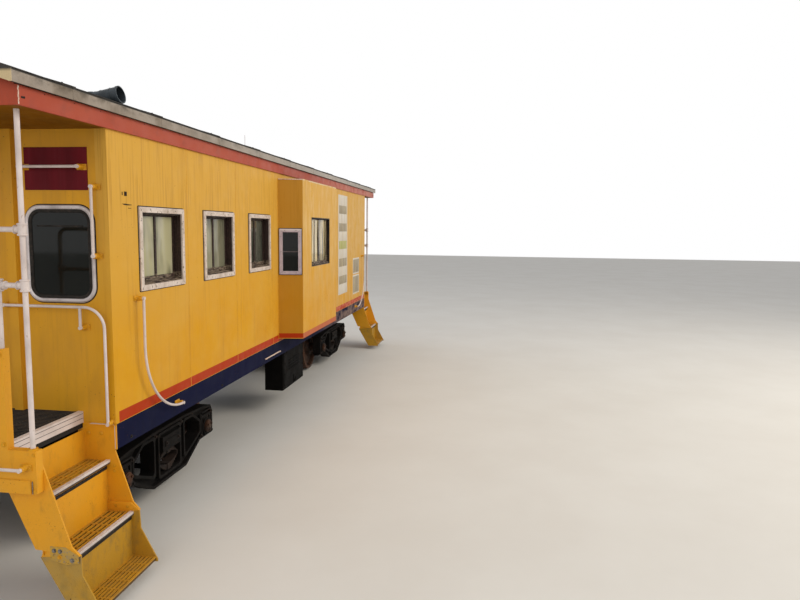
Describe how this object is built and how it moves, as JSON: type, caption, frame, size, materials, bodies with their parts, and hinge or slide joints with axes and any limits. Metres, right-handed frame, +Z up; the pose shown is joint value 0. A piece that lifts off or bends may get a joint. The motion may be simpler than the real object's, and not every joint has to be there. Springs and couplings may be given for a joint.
{
  "type": "bay-window caboose",
  "caption": "Steel railway caboose with an arched roof, a bay on each side, open end platforms with steps and railings, and leaf-sprung swivelling trucks; it shelters a goods train's crew.",
  "frame": {"origin": "under the middle of the caboose, at the lowest point of the wheel flanges, 25 mm below the rail top", "axes": "+X along the caboose towards end b, +Y to its left side, +Z up"},
  "size_m": [12.4884, 3.49, 4.2798],
  "materials": {
    "yellow_paint": "faded yellow enamel over steel",
    "step_paint": "yellow enamel, worn",
    "fascia_paint": "faded vermilion enamel",
    "sill_paint": "dark blue enamel",
    "roof_coating": "grey roof paint, streaked",
    "ceiling_paint": "shaded cream enamel",
    "grating_steel": "black anti-slip coating",
    "nosing_paint": "off-white enamel",
    "railing_paint": "off-white enamel",
    "maroon_paint": "maroon enamel",
    "underframe_paint": "black-brown underbody paint",
    "truck_iron": "rusted cast steel",
    "spring_steel": "rusted spring steel",
    "wheel_steel": "wrought steel, polished treads",
    "coupler_iron": "rusted cast steel",
    "window_aluminium": "weathered mill finish",
    "sash_paint": "dark brown enamel",
    "window_glass": "clear safety glass",
    "smokejack_paint": "dark grey heat-proof paint",
    "antenna_steel": "bare spring steel",
    "curtain_cloth": "unbleached cotton",
    "brake_paint": "yellow enamel"
  },
  "bodies": {
    "carbody": {"centre_sill": "underframe_paint", "side_sills": "sill_paint", "body_bolsters": "underframe_paint", "cross_bearers": "underframe_paint", "floor": "underframe_paint", "end_sills": "step_paint", "platform_decks": "grating_steel", "deck_nosings": "nosing_paint", "step_frames_a": "step_paint", "step_frames_b": "step_paint", "lower_steps": "step_paint", "step_treads": "step_paint", "step_nosings": "nosing_paint", "side_wall_right": "yellow_paint", "side_wall_left": "yellow_paint", "bay_right": "yellow_paint", "bay_left": "yellow_paint", "end_wall_a": "yellow_paint", "end_wall_b": "yellow_paint", "roof": "roof_coating", "fascia": "fascia_paint", "platform_ceilings": "ceiling_paint", "side_window_frames": "window_aluminium", "window_sashes": "sash_paint", "bay_window_frames": "window_aluminium", "end_window_rings": "window_aluminium", "window_glass": "window_glass", "end_railing_a": "railing_paint", "end_railing_b": "railing_paint", "end_handrails": "railing_paint", "side_handrails": "railing_paint", "end_panels": "maroon_paint", "sill_irons": "railing_paint", "brake_housings": "brake_paint", "brake_wheels": "brake_paint", "smokejack": "smokejack_paint", "antenna": "antenna_steel", "battery_box": "underframe_paint", "air_brake_gear": "underframe_paint", "bay_curtains": "curtain_cloth"},
    "truck_a": {"side_frames_a": "truck_iron", "truck_bolster_a": "truck_iron", "leaf_springs_a": "spring_steel", "brake_beams_a": "truck_iron"},
    "wheelset_a1": {"wheelset_a1": "wheel_steel"},
    "wheelset_a2": {"wheelset_a2": "wheel_steel"},
    "door_a": {"door_a": "yellow_paint", "door_glass_a": "window_glass"},
    "coupler_a": {"coupler_a": "coupler_iron"},
    "knuckle_a": {"knuckle_a": "coupler_iron"},
    "truck_b": {"side_frames_b": "truck_iron", "truck_bolster_b": "truck_iron", "leaf_springs_b": "spring_steel", "brake_beams_b": "truck_iron"},
    "wheelset_b1": {"wheelset_b1": "wheel_steel"},
    "wheelset_b2": {"wheelset_b2": "wheel_steel"},
    "door_b": {"door_b": "yellow_paint", "door_glass_b": "window_glass"},
    "coupler_b": {"coupler_b": "coupler_iron"},
    "knuckle_b": {"knuckle_b": "coupler_iron"}
  },
  "joints": [
    {"name": "truck_swivel_a", "type": "hinge", "parent": "carbody", "child": "truck_a", "pos_m": [-3.42, 0, 0.709], "axis": [0, 0, 1], "range_deg": [-6, 6]},
    {"name": "wheelset_a1_spin", "type": "hinge", "parent": "truck_a", "child": "wheelset_a1", "pos_m": [-4.26, 0, 0.444], "axis": [0, 1, 0], "continuous": true},
    {"name": "wheelset_a2_spin", "type": "hinge", "parent": "truck_a", "child": "wheelset_a2", "pos_m": [-2.58, 0, 0.444], "axis": [0, 1, 0], "continuous": true},
    {"name": "door_swing_a", "type": "hinge", "parent": "carbody", "child": "door_a", "pos_m": [-4.786, -0.385, 2.2], "axis": [0, 0, -1], "range_deg": [0, 95]},
    {"name": "coupler_swing_a", "type": "hinge", "parent": "carbody", "child": "coupler_a", "pos_m": [-5.48, 0, 0.889], "axis": [0, 0, 1], "range_deg": [-7, 7]},
    {"name": "knuckle_open_a", "type": "hinge", "parent": "coupler_a", "child": "knuckle_a", "pos_m": [-6.09, -0.118, 0.889], "axis": [0, 0, 1], "range_deg": [0, 50]},
    {"name": "truck_swivel_b", "type": "hinge", "parent": "carbody", "child": "truck_b", "pos_m": [3.42, 0, 0.709], "axis": [0, 0, 1], "range_deg": [-6, 6]},
    {"name": "wheelset_b1_spin", "type": "hinge", "parent": "truck_b", "child": "wheelset_b1", "pos_m": [2.58, 0, 0.444], "axis": [0, 1, 0], "continuous": true},
    {"name": "wheelset_b2_spin", "type": "hinge", "parent": "truck_b", "child": "wheelset_b2", "pos_m": [4.26, 0, 0.444], "axis": [0, 1, 0], "continuous": true},
    {"name": "door_swing_b", "type": "hinge", "parent": "carbody", "child": "door_b", "pos_m": [4.786, 0.385, 2.2], "axis": [0, 0, -1], "range_deg": [0, 95]},
    {"name": "coupler_swing_b", "type": "hinge", "parent": "carbody", "child": "coupler_b", "pos_m": [5.48, 0, 0.889], "axis": [0, 0, 1], "range_deg": [-7, 7]},
    {"name": "knuckle_open_b", "type": "hinge", "parent": "coupler_b", "child": "knuckle_b", "pos_m": [6.09, 0.118, 0.889], "axis": [0, 0, 1], "range_deg": [0, 50]}
  ]
}
